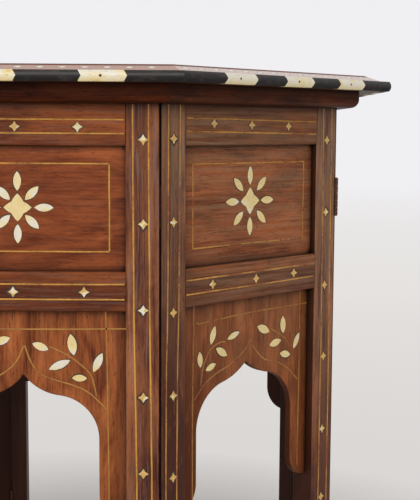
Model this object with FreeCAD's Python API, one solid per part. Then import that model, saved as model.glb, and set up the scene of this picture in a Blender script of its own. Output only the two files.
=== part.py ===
"""Folding inlaid table: eight hinged frame-and-panel sides under a loose octagonal top.

The base stands on z = 0 about the Z axis. Side 1 faces -Y and the sides go round
anticlockwise seen from above. Hinge lines alternate: the pair 1-2 turns about a pin
inside the corner, the pair 2-3 about a pin outside it, and so on, so the base folds
into a star and the top lifts off.
"""
import FreeCAD, Part
import math
import os
from FreeCAD import Vector

# Base, in millimetres
SIDE_COUNT = 8
PANEL_WIDTH = 190.0            # outer face of a side, corner to corner
BASE_HEIGHT = 503.0            # floor to the underside of the top
FRAME_THICKNESS = 16.0
STILE_WIDTH = 24.0
MITRE_GAP = 1.2                # open joint between neighbouring stiles
TOP_RAIL_HEIGHT = 28.5
UPPER_OPENING_HEIGHT = 86.0
MID_RAIL_HEIGHT = 27.5
RAIL_SET_BACK = 0.4            # rails behind the stiles' faces, front and back
ARRIS = 0.8                    # flat taken off the long front edges

# Boards held in the grooves of the frame
BOARD_THICKNESS = 6.0
UPPER_BOARD_BACK = 4.5         # back of the upper board to the frame's inner face
ARCH_BOARD_BACK = 2.0          # back of the arch board to the frame's inner face
GROOVE_DEPTH = 4.0
GROOVE_CLEARANCE = 0.15

# Tenons of the rails in the stiles
TENON_COVER = 12.0             # stile's width left past the end of a tenon
TENON_THICKNESS = 6.0
TENON_SHOULDER = 5.0           # top of the top rail to its tenon
TENON_CLEARANCE = 0.1

# Ogee arch of the lower board
ARCH_STRIP_WIDTH = 18.5        # board left beside the stile under an arch in the middle
ARCH_STRIP_DROP = 152.5        # mid rail down to the rounded end of the strips
ARCH_POINT_WIDTH = 0.8         # flat at the point of the arch

# Bone pieces let into the wood
INLAY_DEPTH = 1.5
INLAY_PROUD = 0.15             # on the sides; the top's bone is flush
INLAY_CLEARANCE = 0.15
STAR_TIP = 3.8
STAR_WAIST = 2.0
STILE_STAR_FIRST = 24.5        # top of the base to the first star
STILE_STAR_PITCH = 58.0
STILE_STAR_FOOT = 12.0         # least height of an even star above the floor
RAIL_STAR_INSET = 28.0         # stile edge to the outer star of a rail

# A flower's parts, as shares of its reach
LONG_PETAL = 0.54
CLOSE_PETAL = 0.54
PETAL_WIDTH = 0.22
QUATREFOIL_TIP = 0.39
QUATREFOIL_NOTCH = 0.235
QUATREFOIL_SWELL = 0.018

# What is set out by eye, first on sides 1, 3, 5 and 7 and then on the others. Stars and
# flowers stray to the right and up from even places, or up alone on a stile, where the
# strays repeat from the top. A flower's reach is from its centre to the tips of its long
# petals, and its close petals reach out to a share of that.
# An arch has a shift of its middle to the right, the drops of its point and its springing
# below the mid rail, and the radii of its lobes and shoulders. A leaf has a place across
# (share of the half opening), a drop below the mid rail, a turn in degrees, a length and a
# width.
BY_EYE = (
    {
        "arch": (-1.0, 46.4, 92.1, 35.4, 31.5),
        "top rail": ((-3.0, -1.5), (-3.7, -1.6), (-4.3, -1.7)),
        "mid rail": ((1.0, 0.2), (-6.2, -0.3), (-0.6, -0.3)),
        "left stile": (0.8, -0.4, 1.6, -1.2, 0.5),
        "right stile": (0.1, 0.9, -0.5, -3.6, 0.1),
        "flower": (-3.2, 0.5),
        "flower reach": 24.8,
        "close petal tip": 0.83,
        "leaves": (
            (-0.30, 22.0, 20.0, 12.4, 5.6),
            (-0.70, 23.4, 83.0, 15.0, 6.2),
            (-1.01, 36.5, -62.0, 14.6, 5.6),
            (-0.52, 38.0, -20.0, 15.6, 5.6),
            (-0.78, 48.0, 4.0, 11.0, 5.0),
            (0.21, 26.0, -21.5, 12.0, 5.5),
            (0.63, 24.6, 99.0, 15.4, 6.5),
            (0.97, 37.2, 65.0, 15.2, 5.5),
            (0.46, 39.0, 23.5, 16.6, 5.6),
            (0.725, 48.3, -2.0, 10.6, 4.9),
        ),
    },
    {
        "arch": (0.85, 49.9, 95.1, 51.7, 34.0),
        "top rail": ((-0.2, 1.1), (-4.0, 0.3), (-5.9, -0.4)),
        "mid rail": ((-0.9, 0.5), (2.3, 0.4), (2.4, 0.8)),
        "left stile": (0.9, 1.6, -3.4, -4.3, -5.2),
        "right stile": (-0.8, 0.4, 0.1, 0.1, -1.7, -0.6),
        "flower": (0.2, 1.6),
        "flower reach": 25.9,
        "close petal tip": 0.95,
        "leaves": (
            (-0.265, 28.0, 17.0, 13.8, 4.7),
            (-0.68, 25.0, 72.0, 14.2, 5.7),
            (-0.93, 41.4, 95.0, 12.0, 5.3),
            (-0.505, 38.7, -32.0, 13.8, 5.6),
            (-0.72, 48.4, 19.0, 11.2, 4.9),
            (0.37, 27.3, -23.0, 15.2, 6.4),
            (0.805, 26.7, 93.0, 14.0, 6.3),
            (1.115, 41.4, 60.5, 14.0, 5.3),
            (0.635, 39.8, 10.0, 14.0, 5.9),
            (0.86, 50.4, -12.0, 12.6, 5.6),
        ),
    },
)

# Butt hinges on the mitred edges, two to a corner
HINGE_LENGTH = 29.0
UPPER_HINGE_DROP = 70.3        # top of the base to the middle of the upper hinge
LOWER_HINGE_RISE = 70.0        # floor to the middle of the lower hinge
AXIS_STANDOFF = 0.5            # pin beyond the corner of the wood
KNUCKLES = 5
KNUCKLE_GAP = 0.3
BARREL_RADIUS = 1.5
BARREL_CLEARANCE = 0.3
LEAF_THICKNESS = 1.0
LEAF_GAP = 0.2                 # between the two leaves of a closed hinge
LEAF_MARGIN = 2.5              # leaf's free edge to the far corner of the wood
LEAF_CLEARANCE = 0.1
PIN_RADIUS = 0.7
PIN_CLEARANCE = 0.05
PIN_HEAD_RADIUS = 1.2
PIN_HEAD_LENGTH = 0.8
SCREW_LENGTH = 8.0
SCREW_RADIUS = 1.1
SCREW_HEAD_RADIUS = 1.9
SCREW_HEAD_HEIGHT = 0.8
SCREW_CLEARANCE = 0.08
SCREW_INSET = 5.0              # end of a leaf to its screw

# Top: mouldings, planks, edge blocks
MOULDING_HEIGHT = 12.9
MOULDING_OVERHANG = 16.5       # beyond the outer face of the base
MOULDING_ROUND = 6.5
MOULDING_LAP = 4.0             # inside the inner face of the base
TOP_OVERHANG = 40.0            # edge blocks beyond the outer face of the base
EDGE_HEIGHT = 7.3
EDGE_DEPTH = 7.0
EDGE_BULGE = 1.4               # swell of the edge blocks at mid height
EDGE_BONE_LENGTH = 29.6
EDGE_EBONY_LENGTH = 30.3       # between bone blocks in their even places
EDGE_POINT = 2.2               # point of each block let into the next
EDGE_STRAYS = ((-2.0, -12.8, -1.8), (1.0, 1.4, 1.2))  # bone blocks, on sides as in BY_EYE
BEVEL_WIDTH = 13.0
BEVEL_RISE = 4.7
PLANK_WIDTH = 178.0            # middle plank; the outer two take the rest
EDGE_NAIL_RADIUS = 0.8
EDGE_NAIL_LENGTH = 14.0
EDGE_NAIL_SINK = 0.3
EDGE_NAIL_CLEARANCE = 0.08
LOZENGES_PER_SIDE = 14
LOZENGE_ROW_ENDS = (8.2, 15.8)  # left and right end of a side to its first and last lozenge
LOZENGE_LENGTH = 6.2
LOZENGE_WIDTH = 4.6
TOP_FLOWER_REACH = 62.0
TOP_CLOSE_PETAL_TIP = 0.83       # share of the reach
CORNER_SPRIG_INSET = 42.0      # field corner to the middle of its leaves
CORNER_LEAF_LENGTH = 26.0
CORNER_LEAF_WIDTH = 9.0
CORNER_LEAF_SPREAD = 13.0      # side leaves off the corner line
CORNER_LEAF_TURN = 32.0        # degrees
BATTEN_OFFSET = 105.0
BATTEN_WIDTH = 32.0
BATTEN_SET_UP = 2.5            # underside of a batten above that of the mouldings
BATTEN_END_GAP = 3.0
BATTEN_SCREW_RADIUS = 1.8
BATTEN_SCREW_HEAD_RADIUS = 3.6
BATTEN_SCREW_HEAD_HEIGHT = 2.4
BATTEN_SCREW_BITE = 7.0        # length in the plank

CUT_OVERRUN = 2.0              # cutters run this far past a face

# Levels and widths that follow
half_turn = math.pi / SIDE_COUNT
sine = math.sin(half_turn)
cosine = math.cos(half_turn)
slope = math.tan(half_turn)
base_apothem = PANEL_WIDTH / 2 / slope
mitre_length = FRAME_THICKNESS / cosine
stile_edge = PANEL_WIDTH / 2 - STILE_WIDTH
stile_middle = PANEL_WIDTH / 2 - STILE_WIDTH / 2
top_rail_bottom = BASE_HEIGHT - TOP_RAIL_HEIGHT
mid_rail_top = top_rail_bottom - UPPER_OPENING_HEIGHT
mid_rail_bottom = mid_rail_top - MID_RAIL_HEIGHT
upper_back = FRAME_THICKNESS - UPPER_BOARD_BACK
upper_front = upper_back - BOARD_THICKNESS
arch_back = FRAME_THICKNESS - ARCH_BOARD_BACK
arch_front = arch_back - BOARD_THICKNESS
tenon_length = STILE_WIDTH - TENON_COVER
tenon_front = (FRAME_THICKNESS - TENON_THICKNESS) / 2
tenon_back = tenon_front + TENON_THICKNESS
half_opening = stile_edge - ARCH_STRIP_WIDTH
board_edge = stile_edge + GROOVE_DEPTH - GROOVE_CLEARANCE
strip_end = mid_rail_bottom - ARCH_STRIP_DROP
hinge_middles = (LOWER_HINGE_RISE, BASE_HEIGHT - UPPER_HINGE_DROP)
leaf_width = AXIS_STANDOFF + mitre_length - LEAF_MARGIN
leaf_front = LEAF_GAP / 2
leaf_back = leaf_front + LEAF_THICKNESS
edge_bottom = BASE_HEIGHT + MOULDING_HEIGHT
edge_top = edge_bottom + EDGE_HEIGHT
table_top = edge_top + BEVEL_RISE
top_apothem = base_apothem + TOP_OVERHANG
plank_apothem = top_apothem - EDGE_DEPTH
field_apothem = plank_apothem - BEVEL_WIDTH
ring_apothem = base_apothem - FRAME_THICKNESS - MOULDING_LAP
batten_bottom = BASE_HEIGHT + BATTEN_SET_UP
INSIDE = "inside"
OUTSIDE = "outside"


def box(x, y, z):
    """Block between pairs of limits, in any order."""
    low = Vector(min(x), min(y), min(z))
    return Part.makeBox(max(x) - low.x, max(y) - low.y, max(z) - low.z, low)


def prism(points, push):
    """Solid swept straight from a closed outline of points."""
    return Part.Face(Part.makePolygon([*points, points[0]])).extrude(push)


def slab(outline, low, high):
    """Solid between two heights over an outline drawn in the XY plane."""
    return Part.Face(outline.translated(Vector(0, 0, low))).extrude(Vector(0, 0, high - low))


def polygon(points):
    """Closed outline in the XY plane."""
    corners = [Vector(x, y, 0) for x, y in points]
    return Part.makePolygon([*corners, corners[0]])


def turned(shape, index):
    """Copy of what belongs to side 1, turned to another side."""
    copy = shape.copy()
    copy.rotate(Vector(0, 0, 0), Vector(0, 0, 1), 360.0 * index / SIDE_COUNT)
    return copy


def on_face(shape, set_back):
    """Stands a flat drawing up on the face of a panel, set back behind the stiles' faces."""
    copy = shape.copy()
    copy.rotate(Vector(0, 0, 0), Vector(1, 0, 0), 90)
    copy.translate(Vector(0, set_back, 0))
    return copy


# Outlines of the bone pieces, each grown on every side for its pocket


def star(x, y, grow=0.0):
    """Small star of four blunt points."""
    reach = (STAR_TIP + 2 * grow, STAR_WAIST + grow)
    return polygon([
        (x + reach[i % 2] * math.cos(math.pi / 4 * i), y + reach[i % 2] * math.sin(math.pi / 4 * i))
        for i in range(8)
    ])


def lozenge(x, y, grow=0.0):
    """Small four-sided piece, longer along X."""
    length = LOZENGE_LENGTH / 2 + 2 * grow
    width = LOZENGE_WIDTH / 2 + 2 * grow
    return polygon([(x - length, y), (x, y - width), (x + length, y), (x, y + width)])


def leaf(x, y, turn, length, width, grow=0.0):
    """Leaf or petal: two equal arcs that meet in points."""
    angle = math.radians(turn)
    along = Vector(math.cos(angle), math.sin(angle), 0) * (length / 2 + 2 * grow)
    across = Vector(-math.sin(angle), math.cos(angle), 0) * (width / 2 + grow)
    middle = Vector(x, y, 0)
    one_side = Part.Arc(middle - along, middle + across, middle + along)
    other_side = Part.Arc(middle + along, middle - across, middle - along)
    return Part.Wire([one_side.toShape(), other_side.toShape()])


def quatrefoil(x, y, tip, notch, swell, grow=0.0):
    """Four pointed lobes with swelling sides; a notch lies between each two."""
    points = []
    for i in range(8):
        reach = notch + grow if i % 2 else tip + 2 * grow
        angle = math.pi / 4 * i
        points.append(Vector(x + reach * math.cos(angle), y + reach * math.sin(angle), 0))
    sides = []
    for start, end in zip(points, [*points[1:], points[0]]):
        middle = (start + end) / 2
        outward = (middle - Vector(x, y, 0)).normalize()
        sides.append(Part.Arc(start, middle + outward * swell, end).toShape())
    return Part.Wire(sides)


def let_in(draw, where, proud):
    """A bone piece and the cutter of its pocket, drawn flat on the surface z = 0."""
    piece = slab(draw(*where), -INLAY_DEPTH, proud)
    pocket = slab(draw(*where, grow=INLAY_CLEARANCE), -INLAY_DEPTH, CUT_OVERRUN)
    return piece, pocket


def flower(x, y, reach, close_tip, proud):
    """Quatrefoil in a ring of four long and four closer petals."""
    middle_shape = (QUATREFOIL_TIP * reach, QUATREFOIL_NOTCH * reach, QUATREFOIL_SWELL * reach)
    pieces = [let_in(quatrefoil, (x, y, *middle_shape), proud)]
    for i in range(8):
        tip, length = (close_tip, CLOSE_PETAL) if i % 2 else (1.0, LONG_PETAL)
        middle = (tip - length / 2) * reach
        angle = math.pi / 4 * i
        place = (x + middle * math.cos(angle), y + middle * math.sin(angle))
        petal = (*place, math.degrees(angle), length * reach, PETAL_WIDTH * reach)
        pieces.append(let_in(leaf, petal, proud))
    return pieces


def panel_bone(by_eye):
    """Bone of one side with its pockets, listed under the piece of wood that holds it."""
    bone = {"stiles": [], "rails": [], "upper": [], "arch": []}
    first = BASE_HEIGHT - STILE_STAR_FIRST
    count = math.ceil((first - STILE_STAR_FOOT) / STILE_STAR_PITCH)
    for x, ups in ((-stile_middle, by_eye["left stile"]), (stile_middle, by_eye["right stile"])):
        for i in range(count):
            level = first - i * STILE_STAR_PITCH + ups[i % len(ups)]
            bone["stiles"].append(let_in(star, (x, level), INLAY_PROUD))
    outer_star = stile_edge - RAIL_STAR_INSET
    rail_levels = (("top rail", top_rail_bottom, BASE_HEIGHT), ("mid rail", mid_rail_bottom, mid_rail_top))
    for piece, low, high in rail_levels:
        for x, (right, up) in zip((-outer_star, 0.0, outer_star), by_eye[piece]):
            bone["rails"].append(let_in(star, (x + right, (low + high) / 2 + up), INLAY_PROUD))
    right, up = by_eye["flower"]
    level = (top_rail_bottom + mid_rail_top) / 2
    bone["upper"] = flower(right, level + up, by_eye["flower reach"], by_eye["close petal tip"],
                           INLAY_PROUD)
    for share, drop, *shape in by_eye["leaves"]:
        where = (share * half_opening, mid_rail_bottom - drop, *shape)
        bone["arch"].append(let_in(leaf, where, INLAY_PROUD))
    set_back = {"stiles": 0.0, "rails": RAIL_SET_BACK, "upper": upper_front, "arch": arch_front}
    return {
        wood: [tuple(on_face(shape, set_back[wood]) for shape in pair) for pair in pairs]
        for wood, pairs in bone.items()
    }


def cut_pockets(wood, pairs):
    """Wood with the pockets of its bone cut out."""
    near = [pocket for _, pocket in pairs if pocket.BoundBox.intersect(wood.BoundBox)]
    return wood.cut(near) if near else wood


# Hinges, in the frame of side 1 before it is moved out to its place


def hinge_line(side, kind):
    """Pin's place, the way across the leaf from the pin, and the way into the wood."""
    corner = Vector(side * PANEL_WIDTH / 2, 0, 0)
    inward = Vector(-side * sine, cosine, 0)
    into = Vector(-side * cosine, -sine, 0)
    if kind == INSIDE:
        return corner + inward * (mitre_length + AXIS_STANDOFF), -inward, into
    return corner - inward * AXIS_STANDOFF, inward, into


def leaf_plate(line, middle, spare):
    """Flat of a leaf, or with spare room its housing in the wood."""
    pin, across, into = line
    level = Vector(0, 0, middle - HINGE_LENGTH / 2 - spare)
    section = ((0, leaf_front), (leaf_width + spare, leaf_front),
               (leaf_width + spare, leaf_back), (0, leaf_back))
    corners = [pin + level + across * w + into * b for w, b in section]
    return prism(corners, Vector(0, 0, HINGE_LENGTH + 2 * spare))


def barrel(line, radius, bottom, top):
    """Upright cylinder about the pin."""
    return Part.makeCylinder(radius, top - bottom, line[0] + Vector(0, 0, bottom))


def screw_places(line, middle):
    """Where the screws enter the leaf, on the middle of the mitred face."""
    pin, across, into = line
    reach = AXIS_STANDOFF + mitre_length / 2
    rise = HINGE_LENGTH / 2 - SCREW_INSET
    return [pin + across * reach + into * leaf_front + Vector(0, 0, middle + dz) for dz in (-rise, rise)]


def screw(start, way, spare):
    """Countersunk screw, or with spare room its hole."""
    head = Part.makeCone(SCREW_HEAD_RADIUS + spare, SCREW_RADIUS + spare, SCREW_HEAD_HEIGHT, start, way)
    length = SCREW_LENGTH - SCREW_HEAD_HEIGHT + spare
    shank = Part.makeCylinder(SCREW_RADIUS + spare, length, start + way * SCREW_HEAD_HEIGHT, way)
    return head.fuse(shank).removeSplitter()


def hinge_housings(line):
    """Room in a stile for the leaves, barrels and screws of both hinges."""
    cutters = []
    for middle in hinge_middles:
        ends = HINGE_LENGTH / 2 + PIN_HEAD_LENGTH + BARREL_CLEARANCE
        cutters.append(leaf_plate(line, middle, LEAF_CLEARANCE))
        cutters.append(barrel(line, BARREL_RADIUS + BARREL_CLEARANCE, middle - ends, middle + ends))
        cutters += [screw(place, line[2], SCREW_CLEARANCE) for place in screw_places(line, middle)]
    return cutters


def hinge_leaf(line, middle, owns_pin):
    """One leaf with its knuckles; the leaf that owns the pin has the outer ones."""
    pitch = HINGE_LENGTH / KNUCKLES
    bottom = middle - HINGE_LENGTH / 2
    plate = leaf_plate(line, middle, 0.0)
    own = []
    others = []
    for i in range(KNUCKLES):
        low, high = bottom + i * pitch, bottom + (i + 1) * pitch
        if (i % 2 == 0) == owns_pin:
            foot = low if i == 0 else low + KNUCKLE_GAP / 2
            head = high if i == KNUCKLES - 1 else high - KNUCKLE_GAP / 2
            own.append(barrel(line, BARREL_RADIUS, foot, head))
        else:
            room = BARREL_RADIUS + BARREL_CLEARANCE
            others.append(barrel(line, room, low - KNUCKLE_GAP / 2, high + KNUCKLE_GAP / 2))
    top = bottom + HINGE_LENGTH
    bore = barrel(line, PIN_RADIUS + PIN_CLEARANCE, bottom - CUT_OVERRUN, top + CUT_OVERRUN)
    holes = [screw(place, line[2], SCREW_CLEARANCE) for place in screw_places(line, middle)]
    return plate.cut(others).fuse(own).cut([bore, *holes]).removeSplitter()


def hinge_pin(line, middle):
    """Pin with a head at each end."""
    bottom, top = middle - HINGE_LENGTH / 2, middle + HINGE_LENGTH / 2
    rod = barrel(line, PIN_RADIUS, bottom, top)
    heads = [
        barrel(line, PIN_HEAD_RADIUS, bottom - PIN_HEAD_LENGTH, bottom),
        barrel(line, PIN_HEAD_RADIUS, top, top + PIN_HEAD_LENGTH),
    ]
    return rod.fuse(heads).removeSplitter()


def hinges(kinds, owns_pin):
    """All hinge parts that one side carries."""
    parts = []
    for side, kind in kinds.items():
        line = hinge_line(side, kind)
        for middle in hinge_middles:
            parts.append(hinge_leaf(line, middle, owns_pin))
            parts += [screw(place, line[2], 0.0) for place in screw_places(line, middle)]
            if owns_pin:
                parts.append(hinge_pin(line, middle))
    return parts


# Wood of one side


def top_tenon():
    """Levels of the top rail's tenon."""
    return top_rail_bottom + GROOVE_DEPTH + GROOVE_CLEARANCE, BASE_HEIGHT - TENON_SHOULDER


def mid_tenon():
    """Levels of the mid rail's tenon, between its two grooves."""
    spare = GROOVE_DEPTH + GROOVE_CLEARANCE
    return mid_rail_bottom + spare, mid_rail_top - spare


def upper_groove(x):
    """Groove for the upper board across the given width."""
    depth = (upper_front - GROOVE_CLEARANCE, upper_back + GROOVE_CLEARANCE)
    return box(x, depth, (mid_rail_top - GROOVE_DEPTH, top_rail_bottom + GROOVE_DEPTH))


def arch_groove(x):
    """Groove for the arch board across the given width."""
    depth = (arch_front - GROOVE_CLEARANCE, arch_back + GROOVE_CLEARANCE)
    return box(x, depth, (strip_end, mid_rail_bottom + GROOVE_DEPTH))


def stile(side, kind):
    """Mitred upright, grooved and mortised on its inner edge; it runs down as the leg."""
    front = PANEL_WIDTH / 2 - MITRE_GAP / 2 / cosine
    section = [
        (stile_edge, ARRIS),
        (stile_edge + ARRIS, 0.0),
        (front - ARRIS, 0.0),
        (front - ARRIS * slope, ARRIS),
        (front - FRAME_THICKNESS * slope, FRAME_THICKNESS),
        (stile_edge, FRAME_THICKNESS),
    ]
    wood = prism([Vector(side * x, y, 0) for x, y in section], Vector(0, 0, BASE_HEIGHT))
    groove = (side * (stile_edge - CUT_OVERRUN), side * (stile_edge + GROOVE_DEPTH))
    mortise = (side * (stile_edge - CUT_OVERRUN), side * (stile_edge + tenon_length + TENON_CLEARANCE))
    cutters = [upper_groove(groove), arch_groove(groove)]
    for low, high in (top_tenon(), mid_tenon()):
        depth = (tenon_front - TENON_CLEARANCE, tenon_back + TENON_CLEARANCE)
        cutters.append(box(mortise, depth, (low - TENON_CLEARANCE, high + TENON_CLEARANCE)))
    return wood.cut([*cutters, *hinge_housings(hinge_line(side, kind))])


def rail(bottom, top, tenon, front_arrises):
    """Cross rail with a tenon at each end."""
    front, back = RAIL_SET_BACK, FRAME_THICKNESS - RAIL_SET_BACK
    section = [(back, bottom)]
    section += [(front + ARRIS, bottom), (front, bottom + ARRIS)]
    section += [(front, top - ARRIS), (front + ARRIS, top)] if front_arrises else [(front, top)]
    section.append((back, top))
    wood = prism([Vector(-stile_edge, y, z) for y, z in section], Vector(2 * stile_edge, 0, 0))
    reach = stile_edge + tenon_length
    ends = box((-reach, reach), (tenon_front, tenon_back), tenon)
    return wood.fuse(ends).removeSplitter()


def rails(bone):
    """Top rail and mid rail, grooved for the boards between and below them."""
    width = (-stile_edge - CUT_OVERRUN, stile_edge + CUT_OVERRUN)
    grooves = [upper_groove(width), arch_groove(width)]
    top = rail(top_rail_bottom, BASE_HEIGHT, top_tenon(), False).cut(grooves[:1])
    mid = rail(mid_rail_bottom, mid_rail_top, mid_tenon(), True).cut(grooves)
    return [cut_pockets(top, bone), cut_pockets(mid, bone)]


def upper_board(bone):
    """Plain board above the mid rail."""
    spare = GROOVE_DEPTH - GROOVE_CLEARANCE
    levels = (mid_rail_top - spare, top_rail_bottom + spare)
    return cut_pockets(box((-board_edge, board_edge), (upper_front, upper_back), levels), bone)


def arch_outline(side, arch):
    """Half of the arch from its point to the rounded end of the strip, then the board's edge;
    the left half, side -1, is drawn as if it were on the right."""
    shift, crown, drop, lobe_radius, shoulder_radius = arch
    edge = half_opening + side * shift
    point = Vector(side * shift + ARCH_POINT_WIDTH / 2, mid_rail_bottom - crown, 0)
    springing = Vector(edge, mid_rail_bottom - drop, 0)
    shoulder = springing - Vector(shoulder_radius, 0, 0)
    away = shoulder - point
    reach = lobe_radius + shoulder_radius
    run = (lobe_radius ** 2 - reach ** 2 + away.Length ** 2) / (2 * away.Length)
    offset = math.sqrt(lobe_radius ** 2 - run ** 2)
    forward = away / away.Length
    lobe = point + forward * run + Vector(-forward.y, forward.x, 0) * offset
    meeting = lobe + (shoulder - lobe) / reach * lobe_radius
    lobe_middle = lobe + ((point + meeting) / 2 - lobe).normalize() * lobe_radius
    bisector = ((meeting + springing) / 2 - shoulder).normalize()
    shoulder_middle = shoulder + bisector * shoulder_radius
    width = stile_edge - edge
    centre = Vector(stile_edge, strip_end + width, 0)
    round_start = centre - Vector(width, 0, 0)
    round_end = centre - Vector(0, width, 0)
    round_middle = centre - Vector(width, width, 0) * math.sqrt(0.5)
    head = mid_rail_bottom + GROOVE_DEPTH - GROOVE_CLEARANCE
    foot = Vector(board_edge, strip_end, 0)
    corner = Vector(board_edge, head, 0)
    return [
        Part.Arc(point, lobe_middle, meeting),
        Part.Arc(meeting, shoulder_middle, springing),
        Part.LineSegment(springing, round_start),
        Part.Arc(round_start, round_middle, round_end),
        Part.LineSegment(round_end, foot),
        Part.LineSegment(foot, corner),
        Part.LineSegment(corner, Vector(0, head, 0)),
    ]


def frames_opening(middle):
    """True of the arch board's front edges, round the arch and down the strips."""
    in_front = middle.y < arch_front + BOARD_THICKNESS / 4
    return in_front and middle.z < mid_rail_bottom and abs(middle.x) < stile_edge


def arch_board(arch, bone):
    """Board with the ogee arch; a strip of it runs down beside each stile."""
    right, left = [[curve.toShape() for curve in arch_outline(side, arch)] for side in (1, -1)]
    left = [edge.mirror(Vector(0, 0, 0), Vector(1, 0, 0)) for edge in left]
    flat = Part.LineSegment(right[0].firstVertex().Point, left[0].firstVertex().Point).toShape()
    outline = Part.Wire(Part.__sortEdges__([*right, *left, flat]))
    board = on_face(slab(outline, -BOARD_THICKNESS, 0.0), arch_front)
    shown = [edge for edge in board.Edges if frames_opening(edge.CenterOfMass)]
    return cut_pockets(board.makeChamfer(ARRIS, shown), bone)


# Top


def ring(apothem, level):
    """Outline with as many sides as the base, each at the given distance from the axis."""
    radius = apothem / cosine
    angles = [(2 * i + 1) * half_turn - math.pi / 2 for i in range(SIDE_COUNT)]
    points = [Vector(radius * math.cos(a), radius * math.sin(a), level) for a in angles]
    return Part.makePolygon([*points, points[0]])


def sector(low, high):
    """Wedge of the plan that belongs to side 1, with mitred ends."""
    reach = 2 * top_apothem
    corners = [Vector(0, 0, low), Vector(-reach * slope, -reach, low), Vector(reach * slope, -reach, low)]
    return prism(corners, Vector(0, 0, high - low))


def moulding():
    """Mitred moulding of side 1, rounded below, that the top stands on."""
    outer = base_apothem + MOULDING_OVERHANG
    low, high = BASE_HEIGHT, edge_bottom
    turn = MOULDING_ROUND * (1 - math.sqrt(0.5))
    length = 2 * outer * slope
    points = [
        Vector(-length / 2, -ring_apothem, low),
        Vector(-length / 2, -outer + MOULDING_ROUND, low),
        Vector(-length / 2, -outer + turn, low + turn),
        Vector(-length / 2, -outer, low + MOULDING_ROUND),
        Vector(-length / 2, -outer, high),
        Vector(-length / 2, -ring_apothem, high),
    ]
    edges = [
        Part.LineSegment(points[0], points[1]),
        Part.Arc(points[1], points[2], points[3]),
        Part.LineSegment(points[3], points[4]),
        Part.LineSegment(points[4], points[5]),
        Part.LineSegment(points[5], points[0]),
    ]
    face = Part.Face(Part.Wire([edge.toShape() for edge in edges]))
    return face.extrude(Vector(length, 0, 0)).common(sector(low, high))


def edge_band():
    """Swelling edge of side 1 before it is cut into blocks."""
    middle = (edge_bottom + edge_top) / 2
    length = 2 * top_apothem * slope
    shy = top_apothem - EDGE_BULGE
    points = [
        Vector(-length / 2, -plank_apothem, edge_bottom),
        Vector(-length / 2, -shy, edge_bottom),
        Vector(-length / 2, -top_apothem, middle),
        Vector(-length / 2, -shy, edge_top),
        Vector(-length / 2, -plank_apothem, edge_top),
    ]
    edges = [
        Part.LineSegment(points[0], points[1]),
        Part.Arc(points[1], points[2], points[3]),
        Part.LineSegment(points[3], points[4]),
        Part.LineSegment(points[4], points[0]),
    ]
    face = Part.Face(Part.Wire([edge.toShape() for edge in edges]))
    return face.extrude(Vector(length, 0, 0)).common(sector(edge_bottom, edge_top))


def block_joints(strays):
    """Places along side 1 where one edge block points into the next, and the bone blocks' middles."""
    step = EDGE_BONE_LENGTH + EDGE_EBONY_LENGTH
    middles = [even + stray for even, stray in zip((-step, 0.0, step), strays)]
    joints = [middle + end * EDGE_BONE_LENGTH / 2 for middle in middles for end in (-1, 1)]
    return joints, middles


def edge_blocks(strays):
    """Bone and ebony blocks of one side, in turn from left to right, and the nails of the bone."""
    band = edge_band()
    joints, middles = block_joints(strays)
    middle_level = (edge_bottom + edge_top) / 2
    length = 2 * top_apothem * slope
    bounds = [-length, *joints, length]
    low, high = edge_bottom - CUT_OVERRUN, edge_top + CUT_OVERRUN
    nose = EDGE_POINT * (1 + 2 * CUT_OVERRUN / EDGE_HEIGHT)
    blocks = []
    for joint, next_joint in zip(bounds, bounds[1:]):
        left, right = joint - EDGE_POINT / 2, next_joint - EDGE_POINT / 2
        outline = [
            (left, low), (right, low), (right + nose, middle_level),
            (right, high), (left, high), (left + nose, middle_level),
        ]
        corners = [Vector(x, -top_apothem - CUT_OVERRUN, z) for x, z in outline]
        blocks.append(band.common(prism(corners, Vector(0, EDGE_DEPTH + 2 * CUT_OVERRUN, 0))))
    ebony, bone = blocks[0::2], blocks[1::2]
    inward = Vector(0, 1, 0)
    heads = [Vector(x, -top_apothem + EDGE_NAIL_SINK, middle_level) for x in middles]
    nails = [Part.makeCylinder(EDGE_NAIL_RADIUS, EDGE_NAIL_LENGTH, head, inward) for head in heads]
    holes = [
        Part.makeCylinder(EDGE_NAIL_RADIUS + EDGE_NAIL_CLEARANCE, EDGE_NAIL_LENGTH + CUT_OVERRUN,
                          head - inward * CUT_OVERRUN, inward)
        for head in heads
    ]
    bone = [block.cut(hole) for block, hole in zip(bone, holes)]
    return bone, ebony, nails, holes


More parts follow.
